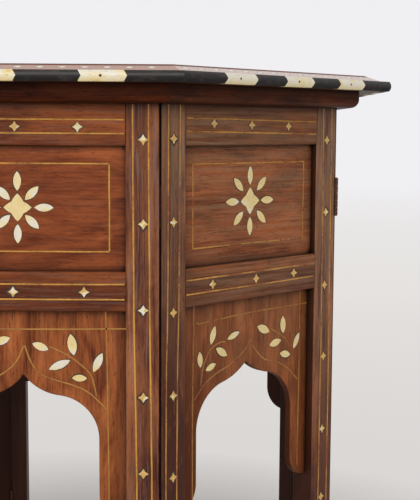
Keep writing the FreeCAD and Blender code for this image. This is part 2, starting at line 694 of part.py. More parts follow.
def top_bone():
    """Flush bone of the top: lozenges on the bevel, a flower and leaves on the field."""
    tilt = math.degrees(math.atan2(BEVEL_RISE, BEVEL_WIDTH))
    bevel_middle = field_apothem + BEVEL_WIDTH / 2
    length = 2 * bevel_middle * slope
    pitch = (length - sum(LOZENGE_ROW_ENDS)) / (LOZENGES_PER_SIDE - 1)
    row = []
    for i in range(LOZENGES_PER_SIDE):
        x = LOZENGE_ROW_ENDS[0] - length / 2 + i * pitch
        pair = let_in(lozenge, (x, 0.0), 0.0)
        for shape in pair:
            shape.rotate(Vector(0, 0, 0), Vector(1, 0, 0), tilt)
            shape.translate(Vector(0, -bevel_middle, edge_top + BEVEL_RISE / 2))
        row.append(pair)
    field = flower(0.0, 0.0, TOP_FLOWER_REACH, TOP_CLOSE_PETAL_TIP, 0.0)
    corner = field_apothem / cosine - CORNER_SPRIG_INSET
    for i in range(SIDE_COUNT):
        angle = (2 * i + 1) * half_turn
        for side in (-1, 0, 1):
            across = side * CORNER_LEAF_SPREAD
            back = abs(side) * CORNER_LEAF_SPREAD / 2
            x = (corner - back) * math.cos(angle) - across * math.sin(angle)
            y = (corner - back) * math.sin(angle) + across * math.cos(angle)
            turn = math.degrees(angle) + side * CORNER_LEAF_TURN
            field.append(let_in(leaf, (x, y, turn, CORNER_LEAF_LENGTH, CORNER_LEAF_WIDTH), 0.0))
    for pair in field:
        for shape in pair:
            shape.translate(Vector(0, 0, table_top))
    pairs = [(turned(piece, i), turned(pocket, i)) for piece, pocket in row for i in range(SIDE_COUNT)]
    return [*pairs, *field]


def batten_screws(spare):
    """Screws up through the battens, one into each plank, or with spare room their holes."""
    shank = edge_bottom - batten_bottom + BATTEN_SCREW_BITE - BATTEN_SCREW_HEAD_HEIGHT
    up = Vector(0, 0, 1)
    outer = (PLANK_WIDTH / 2 + batten_half_length()) / 2
    screws = []
    for x in (-BATTEN_OFFSET, BATTEN_OFFSET):
        for y in (-outer, 0.0, outer):
            start = Vector(x, y, batten_bottom)
            head = Part.makeCone(BATTEN_SCREW_HEAD_RADIUS + spare, BATTEN_SCREW_RADIUS + spare,
                                 BATTEN_SCREW_HEAD_HEIGHT, start, up)
            rod = Part.makeCylinder(BATTEN_SCREW_RADIUS + spare, shank + spare,
                                    start + up * BATTEN_SCREW_HEAD_HEIGHT, up)
            screws.append(head.fuse(rod).removeSplitter())
    return screws


def batten_half_length():
    """Half of a batten, which ends short of the moulding ring."""
    outer_edge = BATTEN_OFFSET + BATTEN_WIDTH / 2
    turns = [2 * half_turn * i for i in range(SIDE_COUNT)]
    facing = [turn for turn in turns if math.cos(turn) > sine]
    reaches = [(ring_apothem - outer_edge * math.sin(turn)) / math.cos(turn) for turn in facing]
    return min(reaches) - BATTEN_END_GAP


def battens():
    """Two cross battens under the planks, inside the ring of mouldings."""
    reach = batten_half_length()
    levels = (batten_bottom, edge_bottom)
    holes = batten_screws(SCREW_CLEARANCE)
    pieces = []
    for middle in (-BATTEN_OFFSET, BATTEN_OFFSET):
        width = (middle - BATTEN_WIDTH / 2, middle + BATTEN_WIDTH / 2)
        pieces.append(box(width, (-reach, reach), levels).cut(holes))
    return pieces


def planks(pairs, nail_holes):
    """Three planks with a bevelled rim, cut for the bone, the nails and the screws."""
    block = Part.Face(ring(plank_apothem, edge_bottom)).extrude(Vector(0, 0, EDGE_HEIGHT))
    bevel = Part.makeLoft([ring(plank_apothem, edge_top), ring(field_apothem, table_top)], True, True)
    board = block.fuse(bevel).removeSplitter()
    cutters = [pocket for _, pocket in pairs] + nail_holes + batten_screws(SCREW_CLEARANCE)
    joint = PLANK_WIDTH / 2
    reach = plank_apothem + CUT_OVERRUN
    pieces = []
    for across in ((-reach, -joint), (-joint, joint), (joint, reach)):
        plank = board.common(box((-reach, reach), across, (edge_bottom, table_top)))
        near = [cutter for cutter in cutters if cutter.BoundBox.intersect(plank.BoundBox)]
        pieces.append(plank.cut(near))
    return pieces


def save(node, shapes):
    """One file per sub-part."""
    solids = [solid for shape in shapes for solid in shape.Solids]
    Part.makeCompound(solids).exportStep(f"parts/{node}.step")
    volume = sum(solid.Volume for solid in solids)
    valid = all(solid.isValid() for solid in solids)
    print(f"{node}: {len(solids)} solids, {volume / 1000:.2f} cm3, valid {valid}")


def main():
    os.makedirs("parts", exist_ok=True)
    hands = (({-1: OUTSIDE, 1: INSIDE}, True), ({-1: INSIDE, 1: OUTSIDE}, False))
    by_hand = []
    for (kinds, owns_pin), by_eye in zip(hands, BY_EYE):
        bone = panel_bone(by_eye)
        by_hand.append({
            "stiles": [cut_pockets(stile(side, kind), bone["stiles"]) for side, kind in kinds.items()],
            "rails": rails(bone["rails"]),
            "upper_board": [upper_board(bone["upper"])],
            "arch_board": [arch_board(by_eye["arch"], bone["arch"])],
            "bone_inlay": [piece for pairs in bone.values() for piece, _ in pairs],
            "hinges": hinges(kinds, owns_pin),
        })
    out = Vector(0, -base_apothem, 0)
    for index in range(SIDE_COUNT):
        for piece, shapes in by_hand[index % 2].items():
            placed = [turned(shape.translated(out), index) for shape in shapes]
            save(f"side_{index + 1}_{piece}", placed)

    bone_pairs = top_bone()
    edge = {"edge_bone_blocks": [], "edge_ebony_blocks": [], "edge_nails": []}
    nail_holes = []
    for parity, strays in enumerate(EDGE_STRAYS):
        bone_blocks, ebony, nails, holes = edge_blocks(strays)
        for index in range(parity, SIDE_COUNT, 2):
            edge["edge_bone_blocks"] += [turned(block, index) for block in bone_blocks]
            edge["edge_ebony_blocks"] += [turned(block, index) for block in ebony]
            edge["edge_nails"] += [turned(nail, index) for nail in nails]
            nail_holes += [turned(hole, index) for hole in holes]
    for node, shapes in edge.items():
        save(node, shapes)
    save("top_planks", planks(bone_pairs, nail_holes))
    save("top_bone_inlay", [piece for piece, _ in bone_pairs])
    piece = moulding()
    save("top_moulding", [turned(piece, index) for index in range(SIDE_COUNT)])
    save("top_battens", battens())
    save("batten_screws", batten_screws(0.0))


main()
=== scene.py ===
"""Looks of the inlaid folding table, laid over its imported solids. Lengths are in metres, unless
a comment names another unit."""
import math
import random

import bmesh
import bpy
from bpy.props import FloatProperty, FloatVectorProperty, PointerProperty
from mathutils import Matrix, Vector


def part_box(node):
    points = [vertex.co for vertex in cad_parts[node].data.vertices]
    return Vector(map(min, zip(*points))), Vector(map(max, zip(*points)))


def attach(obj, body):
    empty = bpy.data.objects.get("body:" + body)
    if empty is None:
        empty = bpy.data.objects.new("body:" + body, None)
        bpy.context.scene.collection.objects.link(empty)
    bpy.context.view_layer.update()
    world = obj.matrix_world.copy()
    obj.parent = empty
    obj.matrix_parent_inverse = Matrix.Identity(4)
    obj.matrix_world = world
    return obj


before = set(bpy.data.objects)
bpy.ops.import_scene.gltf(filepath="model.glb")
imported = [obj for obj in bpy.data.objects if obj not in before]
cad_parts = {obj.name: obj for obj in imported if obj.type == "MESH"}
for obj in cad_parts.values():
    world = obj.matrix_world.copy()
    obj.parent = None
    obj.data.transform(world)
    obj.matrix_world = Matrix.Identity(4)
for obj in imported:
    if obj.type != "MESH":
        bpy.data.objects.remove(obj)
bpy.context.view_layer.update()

bl_info = {
    "name": "Inlaid folding table",
    "version": (1, 0, 0),
    "blender": (4, 5, 0),
    "location": "View3D > Sidebar > Inlaid table",
    "description": "Finishes, stringing and mastic of an eight-sided folding table, and its stage",
    "category": "Object",
}

SIDES = range(1, 9)
SECTOR = math.radians(45.0)
MM = 0.001
BASE_LOW, BASE_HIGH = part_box("side_1_stiles")
FACE = -BASE_LOW.y                      # middle of the table to a side's outer face
BASE_TOP = BASE_HIGH.z
RAIL_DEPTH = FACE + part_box("side_1_rails")[0].y
UPPER_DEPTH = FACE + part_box("side_1_upper_board")[0].y
ARCH_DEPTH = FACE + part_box("side_1_arch_board")[0].y
TABLE_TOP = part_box("top_planks")[1].z
BEVEL_WIDTH = 13 * MM
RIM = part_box("top_planks")[1].x - BEVEL_WIDTH  # middle of the table to the top of the bevel
RIM_LINE = 1.6 * MM                     # half the width of the dark line on the bevel

# Lines of a side, in millimetres: (to the right of the side's middle, below the top of the
# base). The two kinds of side differ, as work laid by eye does: sides 1, 3, 5 and 7 come first.
STILE_LINES = (
    (((-88.2, 0.6), (-88.6, 502.4)), ((-77.6, 0.6), (-78.4, 502.4)),
     ((76.0, 0.6), (76.5, 138.0), (78.4, 269.0), (79.2, 502.4)),
     ((86.6, 0.6), (87.4, 138.0), (88.9, 269.0), (89.3, 502.4))),
    (((-87.6, 0.6), (-88.4, 139.0), (-89.7, 215.0), (-89.9, 502.4)),
     ((-76.8, 0.6), (-77.8, 140.0), (-79.2, 217.0), (-79.6, 502.4)),
     ((78.6, 0.6), (79.8, 160.0), (79.4, 267.0), (78.8, 502.4)),
     ((88.8, 0.6), (89.6, 160.0), (89.8, 260.0), (89.2, 502.4))),
)
RAIL_LINES = (
    (((-70.0, 10.8), (70.0, 11.0)), ((-70.0, 20.2), (70.0, 20.4)),
     ((-70.0, 123.2), (70.0, 123.2)), ((-70.0, 133.7), (70.0, 133.7))),
    (((-70.0, 9.2), (70.0, 11.0)), ((-70.0, 18.5), (70.0, 20.4)),
     ((-70.0, 122.9), (70.0, 122.2)), ((-70.0, 132.9), (70.0, 132.2))),
)
UPPER_LINES = (
    (((-61.0, 40.8), (59.6, 40.8)), ((-61.0, 101.2), (59.6, 101.2)),
     ((-60.9, 40.8), (-60.9, 101.2)), ((59.6, 40.8), (59.6, 101.2))),
    (((-59.2, 41.6), (61.6, 41.8)), ((-59.2, 101.4), (61.6, 101.6)),
     ((-59.2, 41.6), (-59.2, 101.4)), ((61.6, 41.8), (61.6, 101.6))),
)
ARCH_LINES = (
    (((-70.6, 155.8), (23.0, 155.8), (70.6, 155.3)),
     ((-57.0, 142.4), (-57.6, 200.0), (-58.6, 288.0)),
     ((56.4, 142.4), (57.3, 171.0), (58.6, 288.0)),
     ((0.2, 167.2), (4.7, 179.8), (11.5, 188.0), (21.9, 192.0), (34.6, 195.8), (45.6, 201.4),
      (57.2, 213.0)),
     ((-0.6, 167.5), (-5.7, 178.6), (-13.9, 186.3), (-26.0, 193.0), (-46.0, 201.6),
      (-57.4, 213.0)),
     ((17.5, 168.0), (29.0, 173.5), (37.6, 179.6), (46.2, 188.4), (49.8, 203.0)),
     ((-21.6, 166.2), (-37.0, 176.0), (-44.0, 182.4), (-48.6, 191.0), (-50.6, 203.4))),
    (((-52.6, 155.6), (-51.8, 157.0), (-32.8, 156.1), (5.7, 154.6), (70.6, 154.5)),
     ((-55.6, 142.4), (-55.6, 165.0), (-56.3, 226.0), (-56.0, 288.0)),
     ((62.7, 142.4), (62.5, 216.0), (61.8, 286.0)),
     ((5.2, 174.3), (1.6, 180.4), (-6.7, 186.3), (-18.3, 191.9), (-32.5, 196.4), (-44.5, 202.5),
      (-54.6, 212.6)),
     ((5.2, 174.3), (9.4, 182.8), (20.5, 192.6), (35.1, 197.1), (48.1, 203.9), (61.0, 215.2)),
     ((-22.6, 173.4), (-28.9, 173.4), (-38.2, 177.6), (-45.1, 188.5), (-48.2, 203.0)),
     ((28.4, 170.4), (43.3, 178.3), (51.5, 188.0), (56.6, 206.0))),
)

# Lines on the field of the top, in millimetres from its middle: eight-sided, then round.
FIELD_LINES = (243.0, 232.0)
FIELD_ROUNDS = (84.0, 92.0)
ROUND_POINTS = 48

# Noise that lets the lines wander.
WAVES_PER_METRE = 45.0
SIDE_SEED_STEP = 3.7                    # from one side to the next
FIELD_SEED = 41.0

# Dark fill round the bone. Widths are shares of the usual one.
MASTIC_SEED = 17
MASTIC_WIDTHS = (0.7, 0.85, 1.0, 1.4)   # one of these for each piece of bone
STAR_CORNERS = 8                        # points round a small bone star
STAR_MASTIC = 2.1                       # wider round a star
MASTIC_LEAN = 0.45                      # wider to one side of a piece
MASTIC_WAVER = 0.2                      # uneven from point to point
MERGE = 0.002 * MM                      # corners closer than this are one
LOOKS_OUT = 0.99                        # cosine past which a face looks outward

# Dark stain between the lines: (axis across the band, its middle, half its width, share).
STILE_STAIN = (("x", 82.6 * MM, 5.2 * MM, 0.38),)
RAIL_STAIN = (("z", BASE_TOP - 25.2 * MM, 4.8 * MM, 0.38),
              ("z", BASE_TOP - 132.6 * MM, 9.6 * MM, 0.5))

# Darkening low down and painted sheen high up on the sides, in metres above the floor:
# (where it starts, where it is full).
DARKER_LOW_HEIGHTS = (0.34, 0.2)
SHEEN_HEIGHTS = (0.28, 0.44)
DARK_LEFT = (0.16, 0.06)                # half the height, plus how far right of the middle

SIDE_SHIFT = (0.37, 0.23, 0.61)         # how far the grain moves on from side to side
STAR_SPAN = 1.2 * MM                    # bone this near to the outer face is a small star
ARCH_RECESS = (6 * MM, 7 * MM)          # a line deeper than this is on an arch board

# Floor, in metres from the middle: where its shadows fade out, and where it takes its far tones.
FLOOR_SHADOW = (0.42, 0.66)
FLOOR_FADES = (0.7, 2.4, 8.5)


def linear(code):
    """An sRGB hex colour as linear red, green and blue."""
    shares = [int(code[i:i + 2], 16) / 255 for i in (0, 2, 4)]
    return tuple(s / 12.92 if s <= 0.04045 else ((s + 0.055) / 1.055) ** 2.4 for s in shares)


def colour(code, name, words):
    """A colour that a user may change, given as sRGB hex."""
    return FloatVectorProperty(
        name=name, description=words, subtype="COLOR", size=3, min=0, max=1, default=linear(code))


def length(value, name, words):
    """A length that a user may change, in metres."""
    return FloatProperty(
        name=name, description=words, subtype="DISTANCE", unit="LENGTH", precision=5,
        default=value)


def spot(value, name, words):
    """A place that a user may change, in metres."""
    return FloatVectorProperty(
        name=name, description=words, subtype="TRANSLATION", unit="LENGTH", size=3, default=value)


def angle(value, name, words):
    """An angle that a user may change, given in degrees."""
    return FloatProperty(
        name=name, description=words, subtype="ANGLE", unit="ROTATION", default=math.radians(value))


class TableSizes(bpy.types.PropertyGroup):
    """Sizes of the trim that is laid into the wood"""

    string_width: length(1.15 * MM, "String width", "Width of the light lines")
    string_height: length(0.4 * MM, "String height", "Thickness of the light lines")
    string_proud: length(0.07 * MM, "String proud", "Light lines above the wood")
    field_proud: length(0.005 * MM, "Field proud", "Light lines above the field of the top")
    string_waver: length(0.28 * MM, "String waver", "How far a line wanders from true")
    string_step: length(4.0 * MM, "String step", "Distance between the points of a line")
    mastic_width: length(0.42 * MM, "Mastic width", "Usual width of the dark fill round the bone")
    mastic_height: length(0.3 * MM, "Mastic height", "Thickness of the dark fill")
    mastic_sunk: length(0.1 * MM, "Mastic sunk", "Dark fill below the face of the bone")


class TableColours(bpy.types.PropertyGroup):
    """Colours of the woods, the inlay and the metal"""

    stile_dark: colour("4A2217", "Stile dark", "Dark grain of the stiles")
    stile_light: colour("A6643C", "Stile light", "Light grain of the stiles")
    rail_dark: colour("50230F", "Rail dark", "Dark grain of the rails")
    rail_light: colour("9B5227", "Rail light", "Light grain of the rails")
    board_dark: colour("5A250F", "Board dark", "Dark grain of the upper boards")
    board_light: colour("AB5B30", "Board light", "Light grain of the upper boards")
    arch_dark: colour("602C13", "Arch dark", "Dark grain of the arch boards")
    arch_light: colour("B56737", "Arch light", "Light grain of the arch boards")
    stain: colour("3A1712", "Stain", "Dark stain between the light lines")
    # Painted sheen near the top of every other side.
    sheened: colour("8C7458", "Faded wood", "Wood faded by the light, on every other side")
    moulding_dark: colour("2E1006", "Moulding dark", "Dark grain of the moulding")
    moulding_light: colour("622D14", "Moulding light", "Light grain of the moulding")
    top_dark: colour("4C2214", "Top dark", "Dark grain of the planks")
    top_light: colour("935634", "Top light", "Light grain of the planks")
    rim: colour("A8643C", "Rim", "Bevel of the top, rubbed light")
    # Painted reflection on the bevel of every other side.
    rim_painted_sheen: colour("DCC8B8", "Pale rim", "Bevel of the top on every other side, more rubbed")
    rim_line: colour("6C4030", "Rim line", "Dark line along the top of the bevel")
    bloom: colour("877067", "Bloom", "Grey film of old wax")
    # Dirt in pits and cracks, and darkening in corners and seams that is partly dirt and partly
    # painted shade.
    dirt_and_shade: colour("160A06", "Grime", "Old wax and dirt in the corners")
    # Painted shade on faces that turn inward or down.
    inside: colour("321509", "Inside", "Bare wood that no hand reaches, dark with age")
    bone: colour("DFD8C6", "Bone", "Clean bone")
    bone_old: colour("E3CD90", "Old bone", "Bone yellowed by age")
    bone_stain: colour("C9963C", "Bone stain", "Bone soaked with oil")
    bone_dirt: colour("74562F", "Bone dirt", "Dirt in the pores and along the edges of the bone")
    ebony: colour("1B1A19", "Ebony", "Black edge blocks")
    # Dust and rubbed wear, and painted sheen on the upper faces.
    ebony_streak: colour("1D1410", "Ebony streak", "Brown-black streaks in the ebony")
    ebony_worn_and_sheen: colour("5F5953", "Worn ebony", "Dusty and rubbed ebony")
    string: colour("CE9440", "Stringing", "Light lines")
    string_dull: colour("855429", "Dull stringing", "Light lines under dirt")
    mastic: colour("1D1410", "Mastic", "Dark fill round the bone")
    mastic_worn: colour("3B271B", "Worn mastic", "Dark fill where it is rubbed")
    iron: colour("3A2A20", "Iron", "Hinges, nails and screws")
    rust: colour("6A4026", "Rust", "Old rust on the iron")
    iron_worn: colour("7D746C", "Rubbed iron", "Bright edges of the iron")


class StageSettings(bpy.types.PropertyGroup):
    """Camera, light and floor"""

    camera_place: spot((0.1248, -0.9781, 0.4867), "Camera place", "Where the camera stands")
    camera_heading: angle(0.288, "Heading", "Turn of the camera to the right of the Y axis")
    camera_pitch: angle(6.30, "Pitch", "Tilt of the camera below the horizon")
    camera_roll: angle(0.33, "Roll", "Turn of the camera about its own axis")
    camera_lens: FloatProperty(
        name="Lens", description="Focal length on a 36 mm frame", default=79.515, unit="CAMERA")
    floor_radius: length(9.0, "Floor radius", "Size of the plain floor")
    floor_colour: colour("DAD7D4", "Floor", "Plain floor")
    floor_far: colour("E5E2DF", "Far floor", "Plain floor over two metres away")
    backdrop_colour: colour("F0EFF2", "Backdrop", "Plain backdrop behind the table")
    soft_light: FloatProperty(name="Soft light", description="Light from all round", default=0.66)
    lamp_power: FloatProperty(
        name="Lamp power", description="Power of the large lamp", default=32.0, unit="POWER")
    lamp_width: length(1.8, "Lamp width", "Width of the large lamp")
    lamp_height: length(1.5, "Lamp height", "Height of the large lamp")
    lamp_place: spot((-0.4, -2.5, 1.5), "Lamp place", "Where the large lamp stands")
    lamp_aim: spot((0.0, -0.1, 0.35), "Lamp aim", "What the large lamp points at")


def add(tree, kind, feeds=(), out=0, **settings):
    """Adds a node with its settings, gives its inputs values or links and returns an output."""
    node = tree.nodes.new(kind)
    for key, value in settings.items():
        setattr(node, key, value)
    for key, value in feeds.items() if isinstance(feeds, dict) else enumerate(feeds):
        if isinstance(value, bpy.types.NodeSocket):
            tree.links.new(value, node.inputs[key])
        else:
            node.inputs[key].default_value = value
    return node.outputs[out] if node.outputs else None


def opaque(rgb):
    """A colour with full alpha."""
    return (*rgb, 1.0)


def fresh_material(name):
    """(a new material, its node tree, its shader)"""
    material = bpy.data.materials.new(name)
    material.use_nodes = True
    return material, material.node_tree, material.node_tree.nodes["Principled BSDF"]


def seen(tree):
    """1 for a ray that looks at the stage straight, in a reflection or through glass, and 0 for
    one that lights the table."""
    ray = add(tree, "ShaderNodeLightPath").node.outputs
    looks = ray["Is Camera Ray"]
    for kind in ("Is Glossy Ray", "Is Transmission Ray"):
        looks = add(tree, "ShaderNodeMath", [looks, ray[kind]], operation="MAXIMUM")
    return looks


def side_space(tree):
    """Finds, for a point and the way it faces, x along the nearest side of the octagon, y into
    the table and z up; the same point moved on for each side, so that no two sides share their
    grain; and 0 on sides 1, 3, 5 and 7 and 1 on the others."""
    place = add(tree, "ShaderNodeTexCoord", out="Object")
    x, y, _ = add(tree, "ShaderNodeSeparateXYZ", [place]).node.outputs
    bearing = add(tree, "ShaderNodeMath", [y, x], operation="ARCTAN2")
    step = add(tree, "ShaderNodeMath", [bearing, SECTOR], operation="DIVIDE")
    step = add(tree, "ShaderNodeMath", [step], operation="ROUND")
    back = add(tree, "ShaderNodeMath", [step, -SECTOR, -math.pi / 2], operation="MULTIPLY_ADD")
    level, facing = [
        add(tree, "ShaderNodeVectorRotate", {"Vector": way, "Angle": back}, rotation_type="Z_AXIS")
        for way in (place, place.node.outputs["Normal"])]
    shift = add(tree, "ShaderNodeCombineXYZ", [step, step, step])
    moved = add(tree, "ShaderNodeVectorMath", [shift, SIDE_SHIFT, level], operation="MULTIPLY_ADD")
    hand = add(tree, "ShaderNodeMath", [step, 1.0], operation="PINGPONG")
    return level, facing, moved, hand


def grain(tree, place, lengthwise, across, along, detail, twist=0.0):
    """Noise drawn out along the wood, its widths given in millimetres."""
    stretch = [1 / (across * MM)] * 3
    stretch["xyz".index(lengthwise)] = 1 / (along * MM)
    drawn = add(tree, "ShaderNodeVectorMath", [place, stretch], operation="MULTIPLY")
    feeds = {"Vector": drawn, "Scale": 1.0, "Detail": detail, "Roughness": 0.6, "Distortion": twist}
    return add(tree, "ShaderNodeTexNoise", feeds)


def edges(tree, radius, low, high):
    """(normal softened over the edges, share of edge at a point). low and high are the cosines
    between the soft and the true normal at which that share is full and nothing."""
    soft = add(tree, "ShaderNodeBevel", {"Radius": radius}, samples=4)
    true = add(tree, "ShaderNodeNewGeometry", out="True Normal")
    same = add(tree, "ShaderNodeVectorMath", [soft, true], "Value", operation="DOT_PRODUCT")
    return soft, add(tree, "ShaderNodeMapRange", [same, low, high, 1.0, 0.0])


def stained(tree, wood, level, bands):
    """Lays bands of dark stain over the colour of the wood."""
    stain = opaque(bpy.context.scene.table_colours.stain)
    x, _, z = add(tree, "ShaderNodeSeparateXYZ", [level]).node.outputs
    for axis, middle, half, share in bands:
        band = add(tree, "ShaderNodeMath", [{"x": x, "z": z}[axis]], operation="ABSOLUTE")
        band = add(tree, "ShaderNodeMath", [band, middle, half], operation="COMPARE")
        band = add(tree, "ShaderNodeMath", [band, share], operation="MULTIPLY")
        wood = add(tree, "ShaderNodeMix", {0: band, 6: wood, 7: stain}, 2, data_type="RGBA")
    return wood


def side_wear(tree, level, hand, streak, veil):
    """(share of darkening low down, and towards the lower left of every other side; share of painted
    sheen, uneven along the streaks, on every other side and most at its top)"""
    x, _, z = add(tree, "ShaderNodeSeparateXYZ", [level]).node.outputs
    left = add(tree, "ShaderNodeMath", [z, 0.5, x], operation="MULTIPLY_ADD")
    left = add(tree, "ShaderNodeMapRange", [left, *DARK_LEFT, 0.0, 0.95])
    left = add(tree, "ShaderNodeMath", [left, hand], operation="MULTIPLY")
    foot = add(tree, "ShaderNodeMapRange", [hand, 0.0, 1.0, 0.3, 0.75])
    foot = add(tree, "ShaderNodeMapRange", [z, *DARKER_LOW_HEIGHTS, 0.0, foot])
    darker_low_and_left = add(tree, "ShaderNodeMath", [left, foot], operation="MAXIMUM")
    sheened = add(tree, "ShaderNodeMapRange", [z, *SHEEN_HEIGHTS, 0.35 * veil, veil])
    sheened = add(tree, "ShaderNodeMath", [sheened, hand], operation="MULTIPLY")
    uneven = add(tree, "ShaderNodeMapRange", [streak, 0.4, 0.62, 0.4, 1.6])
    sheened = add(tree, "ShaderNodeMath", [sheened, uneven], operation="MULTIPLY")
    return darker_low_and_left, sheened


def timber(name, dark, light, lengthwise, streaks, shine, bloom, veil=0.0, bands=(), all_round=True):
    """Oiled hardwood, rubbed and waxed by hand: cloudy, with streaks 3 mm wide, open pores,
    scratches, pale edges that are partly bare wood and partly a painted highlight, a grey bloom of
    old wax along the grain, dark stain in bands, dirt in pits and cracks, and darkening in the
    corners and seams that is partly dirt and partly painted shade. Faces that turn inward or down
    get painted shade. The wood is darker low down, and every other side is darker towards its lower
    left and may have a painted sheen, most at its top. Pores and scratches are drawn about twice
    their real width, so that they show. The grain turns with each side, or runs straight if it
    isn't all round."""
    tones = bpy.context.scene.table_colours
    material, tree, shader = fresh_material(name)
    level, facing, place, hand = side_space(tree)
    if not all_round:
        place = add(tree, "ShaderNodeTexCoord", out="Object")
    cloud = grain(tree, place, lengthwise, across=20, along=70, detail=4, twist=0.9)
    streak = grain(tree, place, lengthwise, across=3.0, along=90, detail=3, twist=0.4)
    fibre = grain(tree, place, lengthwise, across=1.3, along=22, detail=4, twist=0.3)
    cloud_weight = 2.6
    streak_weight = 1.6 * streaks
    tone = add(tree, "ShaderNodeMath", [cloud, cloud_weight, fibre], operation="MULTIPLY_ADD")
    tone = add(tree, "ShaderNodeMath", [streak, streak_weight, tone], operation="MULTIPLY_ADD")
    mean = (1 + cloud_weight + streak_weight) / 2
    tone = add(tree, "ShaderNodeMapRange", [tone, mean - 0.5, mean + 0.5])
    feeds = {0: tone, 6: opaque(dark), 7: opaque(light)}
    wood = add(tree, "ShaderNodeMix", feeds, 2, data_type="RGBA")
    wood = stained(tree, wood, level, bands)
    darker_low_and_left, sheened = side_wear(tree, level, hand, streak, veil)
    weather = grain(tree, place, lengthwise, across=90, along=160, detail=2)
    pore = grain(tree, place, lengthwise, across=0.75, along=7, detail=1)
    pit = grain(tree, place, lengthwise, across=2.2, along=3.2, detail=2)
    haze = grain(tree, place, lengthwise, across=1.7, along=50, detail=3, twist=0.4)
    crack = grain(tree, place, lengthwise, across=1.0, along=60, detail=2, twist=0.4)
    scratch = grain(tree, place, lengthwise, across=0.7, along=17, detail=1, twist=0.5)
    rub = grain(tree, place, lengthwise, across=6, along=18, detail=3)
    rubbed = add(tree, "ShaderNodeMapRange", [rub, 0.44, 0.66])
    scratch = add(tree, "ShaderNodeMapRange", [scratch, 0.6, 0.7, 0.0, 0.6])
    scratch = add(tree, "ShaderNodeMath", [scratch, rubbed], operation="MULTIPLY")
    normal, edge = edges(tree, radius=0.9 * MM, low=0.86, high=0.995)
    bare = add(tree, "ShaderNodeMath", [rubbed, 0.6, 0.1], operation="MULTIPLY_ADD")
    bare = add(tree, "ShaderNodeMath", [edge, bare], operation="MULTIPLY")
    # Faces that turn inward or down get painted shade.
    _, inward, up = add(tree, "ShaderNodeSeparateXYZ", [facing]).node.outputs
    shown = add(tree, "ShaderNodeMath", [inward, -1.0], operation="MULTIPLY")
    shown = add(tree, "ShaderNodeMath", [shown, up], operation="MAXIMUM")
    pores = add(tree, "ShaderNodeMapRange", [pore, 0.6, 0.72, 0.0, 0.5])
    # Ambient occlusion, near and very near: darkening in the corners and seams, partly dirt and
    # partly painted shade.
    corner, seam_dirt_and_shade = [
        add(tree, "ShaderNodeAmbientOcclusion", {"Distance": reach * MM}, "AO", samples=4)
        for reach in (13, 4.5)]
    for share, over in (
            (add(tree, "ShaderNodeMapRange", [weather, 0.46, 0.66, 0.0, 0.4]), dark),
            # Painted sheen on every other side, most at its top.
            (sheened, tones.sheened),
            (pores, [c * 0.3 for c in dark]),
            (add(tree, "ShaderNodeMapRange", [pit, 0.66, 0.74, 0.0, 0.45]), tones.dirt_and_shade),
            (add(tree, "ShaderNodeMapRange", [haze, 0.53, 0.61, 0.0, bloom]), tones.bloom),
            # Darker low down, and towards the lower left of every other side.
            (darker_low_and_left, [c * 0.75 for c in dark]),
            (add(tree, "ShaderNodeMapRange", [crack, 0.62, 0.69, 0.0, 0.45]), tones.dirt_and_shade),
            (scratch, light),
            # Pale edges: partly bare wood, partly a painted highlight.
            (bare, [1.2 * c + 0.03 for c in light]),
            (add(tree, "ShaderNodeMapRange", [shown, 0.7, 0.4, 0.0, 0.8]), tones.inside),
            # Darkening in corners and seams: partly dirt, partly painted shade.
            (add(tree, "ShaderNodeMapRange", [corner, 0.5, 0.9, 0.62, 0.0]), tones.dirt_and_shade),
            (add(tree, "ShaderNodeMapRange", [seam_dirt_and_shade, 0.5, 0.78, 0.95, 0.0]), tones.dirt_and_shade)):
        wood = add(tree, "ShaderNodeMix", {0: share, 6: wood, 7: opaque(over)}, 2, data_type="RGBA")
    tree.links.new(wood, shader.inputs["Base Color"])
    rough = add(tree, "ShaderNodeMath", [fibre, 0.22, 0.34], operation="MULTIPLY_ADD")
    rough = add(tree, "ShaderNodeMath", [bare, 0.25, rough], operation="MULTIPLY_ADD")
    tree.links.new(rough, shader.inputs["Roughness"])
    relief = add(tree, "ShaderNodeMath", [pores, -1.0, fibre], operation="MULTIPLY_ADD")
    bump = add(tree, "ShaderNodeBump", {"Height": relief, "Normal": normal, "Strength": 0.3,
                                        "Distance": 0.25 * MM})
    tree.links.new(bump, shader.inputs["Normal"])
    shader.inputs["Specular IOR Level"].default_value = shine
    return material


